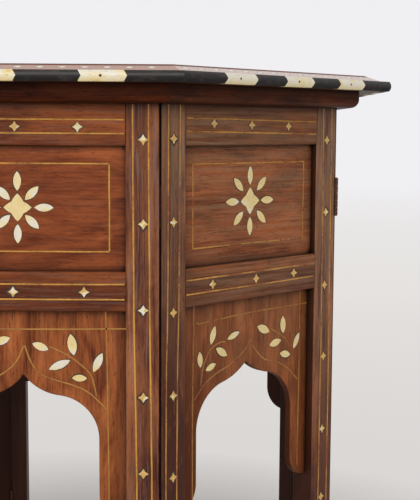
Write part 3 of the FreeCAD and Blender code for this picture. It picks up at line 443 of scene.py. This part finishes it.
def polished_rim(material):
    """Shellac polish: a clear gloss over the planks, worn off in a dull dark line along the top
    of the bevel, which is rubbed lighter below it, and paler still on every other side, a painted
    reflection."""
    tones = bpy.context.scene.table_colours
    tree = material.node_tree
    shader = tree.nodes["Principled BSDF"]
    level, facing, _, hand = side_space(tree)
    _, inward, _ = add(tree, "ShaderNodeSeparateXYZ", [level]).node.outputs
    _, _, up = add(tree, "ShaderNodeSeparateXYZ", [facing]).node.outputs
    above = add(tree, "ShaderNodeMapRange", [up, 0.2, 0.6])
    reach = add(tree, "ShaderNodeMath", [inward, -1.0], operation="MULTIPLY")
    wood = shader.inputs["Base Color"].links[0].from_socket
    bevel = add(tree, "ShaderNodeMapRange", [reach, RIM, RIM + 0.3 * MM, 0.0, 0.75])
    bevel = add(tree, "ShaderNodeMath", [bevel, above], operation="MULTIPLY")
    # Painted reflection: the bevel of every other side is paler.
    pale = add(tree, "ShaderNodeMapRange", [hand, 0.0, 1.0, 0.18, 0.6])
    pale = add(tree, "ShaderNodeMath", [bevel, pale], operation="MULTIPLY")
    line = add(tree, "ShaderNodeMath", [reach, RIM + RIM_LINE, RIM_LINE], operation="COMPARE")
    line = add(tree, "ShaderNodeMath", [line, above], operation="MULTIPLY")
    for share, over in ((bevel, tones.rim), (pale, tones.rim_painted_sheen), (line, tones.rim_line)):
        wood = add(tree, "ShaderNodeMix", {0: share, 6: wood, 7: opaque(over)}, 2, data_type="RGBA")
    tree.links.new(wood, shader.inputs["Base Color"])
    polish = add(tree, "ShaderNodeMath", [above, line], operation="SUBTRACT")
    tree.links.new(polish, shader.inputs["Coat Weight"])
    shader.inputs["Coat Roughness"].default_value = 0.12
    return material


def bone(name, stain_from, patch, by_side, amber, polish=0.0):
    """Sawn and filed bone: ivory white, yellowed by age in patches, with small pieces soaked amber
    in part, and fine dark pores. stain_from is the noise at which yellowing starts, patch its width
    in millimetres, and by_side is added to the noise on every other side. Pores 0.3 mm wide are
    drawn at 0.6 mm, so that they show."""
    tones = bpy.context.scene.table_colours
    material, tree, shader = fresh_material(name)
    level, facing, place, hand = side_space(tree)
    _, depth, _ = add(tree, "ShaderNodeSeparateXYZ", [level]).node.outputs
    _, _, up = add(tree, "ShaderNodeSeparateXYZ", [facing]).node.outputs
    star = add(tree, "ShaderNodeMath", [depth, -FACE, STAR_SPAN], operation="COMPARE")
    tint = grain(tree, place, "x", across=patch, along=1.3 * patch, detail=1)
    wash = grain(tree, place, "x", across=3.0, along=3.6, detail=2)
    fleck = grain(tree, place, "x", across=0.6, along=2.4, detail=1)
    uneven = add(tree, "ShaderNodeMath", [star, 1.4, 0.25], operation="MULTIPLY_ADD")
    stain = add(tree, "ShaderNodeMath", [wash, 0.5], operation="SUBTRACT")
    stain = add(tree, "ShaderNodeMath", [stain, uneven, tint], operation="MULTIPLY_ADD")
    stain = add(tree, "ShaderNodeMath", [hand, by_side, stain], operation="MULTIPLY_ADD")
    stain = add(tree, "ShaderNodeMath", [star, 0.17, stain], operation="MULTIPLY_ADD")
    stain = add(tree, "ShaderNodeMapRange", [stain, stain_from, stain_from + 0.3])
    soaked = add(tree, "ShaderNodeMapRange", [star, 0.0, 1.0, amber, 0.82])
    soaked = add(tree, "ShaderNodeMapRange", [stain, 0.6, 1.0, 0.0, soaked])
    normal, edge = edges(tree, radius=0.45 * MM, low=0.8, high=0.99)
    tone = opaque(tones.bone)
    for share, over in (
            (add(tree, "ShaderNodeMapRange", [stain, 0.0, 0.6]), tones.bone_old),
            (add(tree, "ShaderNodeMapRange", [up, 0.1, -0.6, 0.0, 0.7]), tones.bone_old),
            (soaked, tones.bone_stain),
            (add(tree, "ShaderNodeMapRange", [fleck, 0.62, 0.74, 0.0, 0.45]), tones.bone_dirt),
            (add(tree, "ShaderNodeMapRange", [edge, 0.0, 1.0, 0.0, 0.4]), tones.bone_dirt)):
        tone = add(tree, "ShaderNodeMix", {0: share, 6: tone, 7: opaque(over)}, 2, data_type="RGBA")
    tree.links.new(tone, shader.inputs["Base Color"])
    rough = add(tree, "ShaderNodeMapRange", [wash, 0.3, 0.7, 0.34, 0.5])
    tree.links.new(rough, shader.inputs["Roughness"])
    bump = add(tree, "ShaderNodeBump", {"Height": wash, "Normal": normal, "Strength": 0.2,
                                        "Distance": 0.2 * MM})
    tree.links.new(bump, shader.inputs["Normal"])
    shader.inputs["IOR"].default_value = 1.54
    shader.inputs["Coat Weight"].default_value = polish
    shader.inputs["Subsurface Weight"].default_value = 0.08
    shader.inputs["Subsurface Radius"].default_value = (1.2 * MM, 0.8 * MM, 0.4 * MM)
    return material


def ebony(name):
    """Ebony polished smooth: near black, with brown-black streaks along the edge, greyer in dusty
    patches and at its corners, where it is rubbed, with a painted sheen that greys its upper faces,
    and dull below, where it is never wiped."""
    tones = bpy.context.scene.table_colours
    material, tree, shader = fresh_material(name)
    _, facing, place, _ = side_space(tree)
    _, _, up = add(tree, "ShaderNodeSeparateXYZ", [facing]).node.outputs
    streak = grain(tree, place, "x", across=0.9, along=22, detail=3)
    dust = grain(tree, place, "x", across=5, along=9, detail=3)
    normal, edge = edges(tree, radius=0.6 * MM, low=0.85, high=0.99)
    tone = opaque(tones.ebony)
    for share, over in (
            (add(tree, "ShaderNodeMapRange", [streak, 0.62, 0.4, 0.0, 0.6]), tones.ebony_streak),
            (add(tree, "ShaderNodeMapRange", [dust, 0.5, 0.75, 0.0, 0.3]), tones.ebony_worn_and_sheen),
            # Painted sheen on the upper faces.
            (add(tree, "ShaderNodeMapRange", [up, -0.1, 0.6, 0.0, 0.2]), tones.ebony_worn_and_sheen),
            (add(tree, "ShaderNodeMapRange", [edge, 0.0, 1.0, 0.0, 0.3]), tones.ebony_worn_and_sheen)):
        tone = add(tree, "ShaderNodeMix", {0: share, 6: tone, 7: opaque(over)}, 2, data_type="RGBA")
    tree.links.new(tone, shader.inputs["Base Color"])
    rough = add(tree, "ShaderNodeMapRange", [dust, 0.3, 0.7, 0.18, 0.4])
    below = add(tree, "ShaderNodeMapRange", [up, 0.1, -0.4, 0.0, 0.5])
    rough = add(tree, "ShaderNodeMath", [rough, below], operation="ADD")
    tree.links.new(rough, shader.inputs["Roughness"])
    shader.inputs["Specular IOR Level"].default_value = 0.22
    bump = add(tree, "ShaderNodeBump", {"Height": streak, "Normal": normal, "Strength": 0.15,
                                        "Distance": 0.15 * MM})
    tree.links.new(bump, shader.inputs["Normal"])
    return material


def satinwood(name):
    """Light wood stringing, scraped flush: golden, dull where old polish lies on it, and down to
    the bare board where it is lost, more so on every other side. It is duller on the arch boards."""
    tones = bpy.context.scene.table_colours
    material, tree, shader = fresh_material(name)
    level, _, place, hand = side_space(tree)
    _, depth, _ = add(tree, "ShaderNodeSeparateXYZ", [level]).node.outputs
    start, full = ARCH_RECESS
    deep = add(tree, "ShaderNodeMapRange", [depth, start - FACE, full - FACE, 0.0, 0.45])
    dirt = grain(tree, place, "z", across=26, along=26, detail=4)
    speck = grain(tree, place, "z", across=2.5, along=2.5, detail=2)
    dull = add(tree, "ShaderNodeMath", [speck, 0.45, dirt], operation="MULTIPLY_ADD")
    dull = add(tree, "ShaderNodeMath", [hand, 0.12, dull], operation="MULTIPLY_ADD")
    tone = opaque(tones.string)
    bare = [(dark + light) / 2 for dark, light in zip(tones.board_dark, tones.board_light)]
    for share, over in (
            (add(tree, "ShaderNodeMapRange", [dull, 0.62, 0.98, 0.0, 0.85]), tones.string_dull),
            (deep, tones.string_dull),
            (add(tree, "ShaderNodeMapRange", [dull, 0.9, 1.02]), bare)):
        tone = add(tree, "ShaderNodeMix", {0: share, 6: tone, 7: opaque(over)}, 2, data_type="RGBA")
    tree.links.new(tone, shader.inputs["Base Color"])
    rough = add(tree, "ShaderNodeMapRange", [speck, 0.3, 0.7, 0.36, 0.52])
    tree.links.new(rough, shader.inputs["Roughness"])
    shader.inputs["Specular IOR Level"].default_value = 0.3
    return material


def lac(name):
    """Dark lac run in hot round the bone: brown-black, dull, slightly lumpy."""
    tones = bpy.context.scene.table_colours
    material, tree, shader = fresh_material(name)
    place = add(tree, "ShaderNodeTexCoord", out="Object")
    lump = grain(tree, place, "z", across=1.2, along=1.2, detail=2)
    share = add(tree, "ShaderNodeMapRange", [lump, 0.35, 0.7])
    feeds = {0: share, 6: opaque(tones.mastic), 7: opaque(tones.mastic_worn)}
    tone = add(tree, "ShaderNodeMix", feeds, 2, data_type="RGBA")
    tree.links.new(tone, shader.inputs["Base Color"])
    rough = add(tree, "ShaderNodeMapRange", [lump, 0.3, 0.7, 0.5, 0.75])
    tree.links.new(rough, shader.inputs["Roughness"])
    return material


def forged_iron(name):
    """Forged iron, brown with old rust: rough, with brighter metal where it is rubbed."""
    tones = bpy.context.scene.table_colours
    material, tree, shader = fresh_material(name)
    place = add(tree, "ShaderNodeTexCoord", out="Object")
    spread = grain(tree, place, "z", across=1.6, along=1.6, detail=4)
    rust = add(tree, "ShaderNodeMapRange", [spread, 0.38, 0.66])
    normal, edge = edges(tree, radius=0.3 * MM, low=0.85, high=0.99)
    tone = opaque(tones.iron)
    for share, over in (
            (rust, tones.rust),
            (add(tree, "ShaderNodeMapRange", [edge, 0.0, 1.0, 0.0, 0.4]), tones.iron_worn)):
        tone = add(tree, "ShaderNodeMix", {0: share, 6: tone, 7: opaque(over)}, 2, data_type="RGBA")
    tree.links.new(tone, shader.inputs["Base Color"])
    metal = add(tree, "ShaderNodeMapRange", [rust, 0.0, 1.0, 0.85, 0.15])
    tree.links.new(metal, shader.inputs["Metallic"])
    rough = add(tree, "ShaderNodeMapRange", [spread, 0.3, 0.7, 0.42, 0.78])
    tree.links.new(rough, shader.inputs["Roughness"])
    bump = add(tree, "ShaderNodeBump", {"Height": spread, "Normal": normal, "Strength": 0.35,
                                        "Distance": 0.2 * MM})
    tree.links.new(bump, shader.inputs["Normal"])
    return material


def finish_nodes(material, *endings):
    """Gives a material to the CAD nodes whose names end so."""
    nodes = [node for name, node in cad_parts.items() if name.endswith(endings)]
    if not nodes:
        raise RuntimeError(f"no node ends in {endings}")
    for node in nodes:
        for slot in node.material_slots:
            slot.material = material


def side_matrix(number):
    """Takes a side drawn flat, x along it, y up and z out of it, to its place on the table."""
    stand = Matrix(((1, 0, 0, 0), (0, 0, -1, -FACE), (0, 1, 0, 0), (0, 0, 0, 1)))
    return Matrix.Rotation((number - 1) * SECTOR, 4, "Z") @ stand


def line_mesh(name, lines):
    """A mesh of edges only, one chain for each line."""
    points, links = [], []
    for line in lines:
        first = len(points)
        points.extend(line)
        links.extend((i, i + 1) for i in range(first, len(points) - 1))
    mesh = bpy.data.meshes.new(name)
    mesh.from_pydata(points, links, [])
    return mesh


def string_tree():
    """Geometry nodes that lay a flat string along each line of a mesh of edges."""
    tree = bpy.data.node_groups.new("string_lines", "GeometryNodeTree")
    tree.interface.new_socket("Lines", in_out="INPUT", socket_type="NodeSocketGeometry")
    for name in ("Width", "Height", "Waver", "Step", "Seed"):
        tree.interface.new_socket(name, in_out="INPUT", socket_type="NodeSocketFloat")
    tree.interface.new_socket("Wood", in_out="INPUT", socket_type="NodeSocketMaterial")
    tree.interface.new_socket("Strings", in_out="OUTPUT", socket_type="NodeSocketGeometry")
    given = add(tree, "NodeGroupInput").node.outputs
    curve = add(tree, "GeometryNodeMeshToCurve", [given["Lines"]])
    curve = add(tree, "GeometryNodeCurveSplineType", {"Curve": curve}, spline_type="CATMULL_ROM")
    curve = add(tree, "GeometryNodeResampleCurve", {"Curve": curve, "Length": given["Step"]},
                mode="LENGTH")
    feeds = {"W": given["Seed"], "Scale": WAVES_PER_METRE, "Detail": 1.0}
    drift = add(tree, "ShaderNodeTexNoise", feeds, "Color", noise_dimensions="4D")
    drift = add(tree, "ShaderNodeVectorMath", [drift, (0.5, 0.5, 0.5)], operation="SUBTRACT")
    drift = add(tree, "ShaderNodeVectorMath", [drift, (2.0, 2.0, 0.0)], operation="MULTIPLY")
    drift = add(tree, "ShaderNodeVectorMath", {0: drift, "Scale": given["Waver"]}, operation="SCALE")
    curve = add(tree, "GeometryNodeSetPosition", {"Geometry": curve, "Offset": drift})
    curve = add(tree, "GeometryNodeSetCurveNormal", {"Curve": curve}, mode="Z_UP")
    section = add(tree, "GeometryNodeCurvePrimitiveQuadrilateral",
                  {"Width": given["Width"], "Height": given["Height"]})
    strings = add(tree, "GeometryNodeCurveToMesh",
                  {"Curve": curve, "Profile Curve": section, "Fill Caps": True})
    strings = add(tree, "GeometryNodeRealizeInstances", [strings])
    strings = add(tree, "GeometryNodeSetMaterial", {"Geometry": strings, "Material": given["Wood"]})
    add(tree, "NodeGroupOutput", {"Strings": strings})
    return tree


def by_nodes(name, mesh, tree, matrix, **values):
    """Runs a node tree on a mesh and leaves the plain result, set in place."""
    piece = bpy.data.objects.new(name, mesh)
    bpy.context.scene.collection.objects.link(piece)
    modifier = piece.modifiers.new(tree.name, "NODES")
    modifier.node_group = tree
    for item in tree.interface.items_tree:
        if item.in_out == "INPUT" and item.name in values:
            modifier[item.identifier] = values[item.name]
    ready = bpy.context.evaluated_depsgraph_get()
    made = bpy.data.meshes.new_from_object(piece.evaluated_get(ready), depsgraph=ready)
    piece.modifiers.remove(modifier)
    made.transform(matrix)
    made.name = name
    piece.data = made
    if not made.polygons:
        raise RuntimeError(f"{name} came out empty")
    return piece


def side_lines(hand, sink):
    """The lines of one side drawn flat: x along it, y up, z out, in metres."""
    depths = ((STILE_LINES, 0.0), (RAIL_LINES, RAIL_DEPTH), (UPPER_LINES, UPPER_DEPTH),
              (ARCH_LINES, ARCH_DEPTH))
    return [[(x * MM, BASE_TOP - drop * MM, -depth - sink) for x, drop in line]
            for lines, depth in depths for line in lines[hand]]


def field_lines():
    """The lines on the field of the top, at z = 0, in metres."""
    lines = []
    for apothem in FIELD_LINES:
        reach = apothem * MM / math.cos(SECTOR / 2)
        corners = [(reach * math.cos((i + 0.5) * SECTOR), reach * math.sin((i + 0.5) * SECTOR), 0)
                   for i in range(len(SIDES))]
        lines += [(corners[i - 1], corners[i]) for i in range(len(SIDES))]
    turns = [math.tau * i / ROUND_POINTS for i in range(ROUND_POINTS + 1)]
    for radius in FIELD_ROUNDS:
        lines.append([(radius * MM * math.cos(a), radius * MM * math.sin(a), 0) for a in turns])
    return lines


def corner_key(point):
    """Sorts points by x, y and z, to a hundredth of a millimetre."""
    return tuple(round(v, 5) for v in point)


def front_loops(node, outward):
    """Outlines of the faces of a node that look one way, each as points in order from its
    lowest corner along x, y and z, so that every run draws them alike."""
    work = bmesh.new()
    work.from_mesh(node.data)
    bmesh.ops.remove_doubles(work, verts=work.verts, dist=MERGE)
    front = [f for f in work.faces if f.normal.dot(outward) > LOOKS_OUT]
    chosen = set(front)
    following = {}
    for face in front:
        for loop in face.loops:
            if len([f for f in loop.edge.link_faces if f in chosen]) == 1:
                following[loop.vert] = loop.link_loop_next.vert
    loops = []
    while following:
        start, point = following.popitem()
        line = [start.co.copy()]
        while point is not start:
            line.append(point.co.copy())
            point = following.pop(point)
        first = min(range(len(line)), key=lambda i: corner_key(line[i]))
        loops.append(line[first:] + line[:first])
    work.free()
    return sorted(loops, key=lambda line: corner_key(line[0]))


def mastic_rings(name, loops, outward, rng):
    """A thin ring of dark fill round each outline, uneven as it was pressed in."""
    sizes = bpy.context.scene.table_sizes
    points, faces = [], []
    for line in loops:
        count = len(line)
        usual = sizes.mastic_width * rng.choice(MASTIC_WIDTHS)
        if count == STAR_CORNERS:
            usual *= STAR_MASTIC
        lean = rng.uniform(0, math.tau)
        first = len(points)
        for i, point in enumerate(line):
            way = Vector((0, 0, 0))
            for a, b in ((line[i - 1], point), (point, line[(i + 1) % count])):
                way += (b - a).cross(outward).normalized()
            way.normalize()
            swell = MASTIC_LEAN * math.cos(math.tau * i / count + lean)
            wide = usual * (1 + swell + rng.uniform(-MASTIC_WAVER, MASTIC_WAVER))
            top = point - outward * sizes.mastic_sunk
            low = top - outward * sizes.mastic_height
            points += [top, top + way * wide, low + way * wide, low]
        for i in range(count):
            here, there = first + 4 * i, first + 4 * ((i + 1) % count)
            for a, b in ((0, 1), (1, 2), (2, 3), (3, 0)):
                faces.append((here + a, here + b, there + b, there + a))
    mesh = bpy.data.meshes.new(name)
    mesh.from_pydata(points, [], faces)
    work = bmesh.new()
    work.from_mesh(mesh)
    bmesh.ops.recalc_face_normals(work, faces=work.faces)
    work.to_mesh(mesh)
    work.free()
    piece = bpy.data.objects.new(name, mesh)
    bpy.context.scene.collection.objects.link(piece)
    return piece


class TABLE_OT_frames(bpy.types.Operator):
    """Finishes the stiles, whose grain stands up, and the rails, whose grain lies along them"""

    bl_idname = "table.frames"
    bl_label = "Stiles and rails"

    def execute(self, context):
        tones = context.scene.table_colours
        stiles = timber("shisham_stiles", tones.stile_dark, tones.stile_light, "z",
                        streaks=1.0, shine=0.15, bloom=0.38, veil=0.32, bands=STILE_STAIN)
        finish_nodes(stiles, "_stiles")
        rails = timber("shisham_rails", tones.rail_dark, tones.rail_light, "x",
                       streaks=0.7, shine=0.12, bloom=0.18, veil=0.32, bands=RAIL_STAIN)
        finish_nodes(rails, "_rails")
        return {"FINISHED"}


class TABLE_OT_boards(bpy.types.Operator):
    """Finishes the upper boards and the arch boards"""

    bl_idname = "table.boards"
    bl_label = "Boards"

    def execute(self, context):
        tones = context.scene.table_colours
        upper = timber("shisham_upper_boards", tones.board_dark, tones.board_light, "x",
                       streaks=0.4, shine=0.1, bloom=0.06, veil=0.28)
        finish_nodes(upper, "_upper_board")
        arches = timber("shisham_arch_boards", tones.arch_dark, tones.arch_light, "z",
                        streaks=0.35, shine=0.1, bloom=0.06, veil=0.25)
        finish_nodes(arches, "_arch_board")
        return {"FINISHED"}


class TABLE_OT_top(bpy.types.Operator):
    """Finishes the planks, the moulding and the battens of the top"""

    bl_idname = "table.top"
    bl_label = "Top"

    def execute(self, context):
        tones = context.scene.table_colours
        planks = timber("shisham_planks", tones.top_dark, tones.top_light, "x",
                        streaks=0.8, shine=0.05, bloom=0.1, all_round=False)
        finish_nodes(polished_rim(planks), "top_planks")
        battens = timber("shisham_battens", tones.top_dark, tones.top_light, "y",
                         streaks=0.8, shine=0.2, bloom=0.3, all_round=False)
        finish_nodes(battens, "top_battens")
        moulding = timber("shisham_moulding", tones.moulding_dark, tones.moulding_light, "x",
                          streaks=0.8, shine=0.06, bloom=0.0, veil=0.04)
        finish_nodes(moulding, "top_moulding")
        return {"FINISHED"}


class TABLE_OT_inlay(bpy.types.Operator):
    """Finishes the bone and the ebony"""

    bl_idname = "table.inlay"
    bl_label = "Bone and ebony"

    def execute(self, context):
        # This ending fits top_bone_inlay too, which then gets its own bone.
        inlay = bone("inlaid_bone", stain_from=0.41, patch=12, by_side=0.14, amber=0.15)
        finish_nodes(inlay, "_bone_inlay")
        field = bone("top_bone", stain_from=0.65, patch=13, by_side=0.0, amber=0.0, polish=0.6)
        finish_nodes(field, "top_bone_inlay")
        blocks = bone("edge_bone", stain_from=0.45, patch=9, by_side=-0.1, amber=0.6)
        finish_nodes(blocks, "edge_bone_blocks")
        finish_nodes(ebony("ebony_blocks"), "edge_ebony_blocks")
        return {"FINISHED"}


class TABLE_OT_metal(bpy.types.Operator):
    """Finishes the hinges, nails and screws"""

    bl_idname = "table.metal"
    bl_label = "Hinges, nails and screws"

    def execute(self, context):
        finish_nodes(forged_iron("forged_iron"), "_hinges", "edge_nails", "batten_screws")
        return {"FINISHED"}


class TABLE_OT_stringing(bpy.types.Operator):
    """Lays the light lines into the sides and the field of the top"""

    bl_idname = "table.stringing"
    bl_label = "Stringing"

    def execute(self, context):
        sizes = context.scene.table_sizes
        tree = string_tree()
        wood = satinwood("satinwood_stringing")
        sink = sizes.string_height / 2 - sizes.string_proud
        values = {"Width": sizes.string_width, "Height": sizes.string_height,
                  "Waver": sizes.string_waver, "Step": sizes.string_step, "Wood": wood}
        for number in SIDES:
            name = f"side_{number}_stringing"
            lines = side_lines(1 - number % 2, sink)
            piece = by_nodes(name, line_mesh(name, lines), tree, side_matrix(number),
                             Seed=number * SIDE_SEED_STEP, **values)
            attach(piece, f"side_{number}")
        level = Matrix.Translation((0, 0, TABLE_TOP + sizes.field_proud - sizes.string_height / 2))
        piece = by_nodes("top_stringing", line_mesh("top_stringing", field_lines()), tree, level,
                         Seed=FIELD_SEED, **values)
        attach(piece, "top")
        return {"FINISHED"}


class TABLE_OT_mastic(bpy.types.Operator):
    """Runs dark lac round each piece of bone"""

    bl_idname = "table.mastic"
    bl_label = "Mastic"

    def execute(self, context):
        fill = lac("lac_mastic")
        rng = random.Random(MASTIC_SEED)
        for number in SIDES:
            outward = Matrix.Rotation((number - 1) * SECTOR, 3, "Z") @ Vector((0, -1, 0))
            loops = front_loops(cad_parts[f"side_{number}_bone_inlay"], outward)
            piece = mastic_rings(f"side_{number}_mastic", loops, outward, rng)
            piece.data.materials.append(fill)
            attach(piece, f"side_{number}")
        return {"FINISHED"}


class TABLE_OT_stage(bpy.types.Operator):
    """Sets up the camera, the light and the plain floor"""

    bl_idname = "table.stage"
    bl_label = "Stage"

    def execute(self, context):
        scene = context.scene
        stage = scene.table_stage
        lens = bpy.data.cameras.new("camera")
        lens.lens = stage.camera_lens
        lens.clip_start = 0.01
        camera = bpy.data.objects.new("camera", lens)
        scene.collection.objects.link(camera)
        camera.matrix_world = (
            Matrix.Translation(stage.camera_place)
            @ Matrix.Rotation(-stage.camera_heading, 4, "Z")
            @ Matrix.Rotation(math.pi / 2 - stage.camera_pitch, 4, "X")
            @ Matrix.Rotation(stage.camera_roll, 4, "Z"))
        scene.camera = camera
        self.light(scene, stage)
        self.floor(scene, stage)
        scene.view_settings.view_transform = "Standard"
        return {"FINISHED"}

    def light(self, scene, stage):
        """Soft light from all round, a pale backdrop, and a large lamp in front."""
        world = bpy.data.worlds.new("pale_backdrop")
        world.use_nodes = True
        tree = world.node_tree
        tree.nodes.clear()
        backdrop = add(tree, "ShaderNodeBackground", [opaque(stage.backdrop_colour), 1.0])
        glow = add(tree, "ShaderNodeBackground", [(1.0, 1.0, 1.0, 1.0), stage.soft_light])
        mix = add(tree, "ShaderNodeMixShader", [seen(tree), glow, backdrop])
        add(tree, "ShaderNodeOutputWorld", {"Surface": mix})
        scene.world = world
        light = bpy.data.lights.new("large_lamp", "AREA")
        light.shape = "RECTANGLE"
        light.size = stage.lamp_width
        light.size_y = stage.lamp_height
        light.energy = stage.lamp_power
        lamp = bpy.data.objects.new("large_lamp", light)
        lamp.location = stage.lamp_place
        lamp.rotation_mode = "QUATERNION"
        aim = stage.lamp_aim - lamp.location
        lamp.rotation_quaternion = aim.to_track_quat("-Z", "Y")
        scene.collection.objects.link(lamp)

    def floor(self, scene, stage):
        """A wide plain floor that fades into the backdrop."""
        work = bmesh.new()
        bmesh.ops.create_circle(work, cap_ends=True, segments=64, radius=stage.floor_radius)
        mesh = bpy.data.meshes.new("floor")
        work.to_mesh(mesh)
        work.free()
        floor = bpy.data.objects.new("floor", mesh)
        scene.collection.objects.link(floor)
        material, tree, shader = fresh_material("plain_floor")
        shader.inputs["Base Color"].default_value = opaque(stage.floor_colour)
        shader.inputs["Roughness"].default_value = 0.8
        place = add(tree, "ShaderNodeTexCoord", out="Object")
        away = add(tree, "ShaderNodeVectorMath", [place], "Value", operation="LENGTH")
        tone = opaque(stage.floor_colour)
        near, far, end = FLOOR_FADES
        for share, over in (
                (add(tree, "ShaderNodeMapRange", [away, near, far]), stage.floor_far),
                (add(tree, "ShaderNodeMapRange", [away, far, end]), stage.backdrop_colour)):
            tone = add(tree, "ShaderNodeMix", {0: share, 6: tone, 7: opaque(over)}, 2,
                       data_type="RGBA")
        veil = add(tree, "ShaderNodeMapRange", [away, *FLOOR_SHADOW])
        veil = add(tree, "ShaderNodeMath", [veil, seen(tree)], operation="MULTIPLY")
        glow = add(tree, "ShaderNodeEmission", [tone])
        mix = add(tree, "ShaderNodeMixShader", [veil, shader.outputs[0], glow])
        tree.links.new(mix, tree.nodes["Material Output"].inputs["Surface"])
        floor.data.materials.append(material)


PIECES = (TABLE_OT_frames, TABLE_OT_boards, TABLE_OT_top, TABLE_OT_inlay, TABLE_OT_metal,
          TABLE_OT_stringing, TABLE_OT_mastic, TABLE_OT_stage)


class TABLE_PT_pieces(bpy.types.Panel):
    """Lists the pieces of the table and their sizes and colours"""

    bl_idname = "TABLE_PT_pieces"
    bl_label = "Inlaid table"
    bl_space_type = "VIEW_3D"
    bl_region_type = "UI"
    bl_category = "Inlaid table"

    def draw(self, context):
        for piece in PIECES:
            self.layout.operator(piece.bl_idname)
        for group in (context.scene.table_sizes, context.scene.table_colours,
                      context.scene.table_stage):
            for name in group.__annotations__:
                self.layout.prop(group, name)


CLASSES = (TableSizes, TableColours, StageSettings, *PIECES, TABLE_PT_pieces)


def register():
    for item in CLASSES:
        bpy.utils.register_class(item)
    bpy.types.Scene.table_sizes = PointerProperty(type=TableSizes)
    bpy.types.Scene.table_colours = PointerProperty(type=TableColours)
    bpy.types.Scene.table_stage = PointerProperty(type=StageSettings)


def unregister():
    del bpy.types.Scene.table_stage
    del bpy.types.Scene.table_colours
    del bpy.types.Scene.table_sizes
    for item in reversed(CLASSES):
        bpy.utils.unregister_class(item)


def main():
    register()
    bpy.ops.table.frames()
    bpy.ops.table.boards()
    bpy.ops.table.top()
    bpy.ops.table.inlay()
    bpy.ops.table.metal()
    bpy.ops.table.stringing()
    bpy.ops.table.mastic()
    bpy.ops.table.stage()


if __name__ == "__main__":
    main()
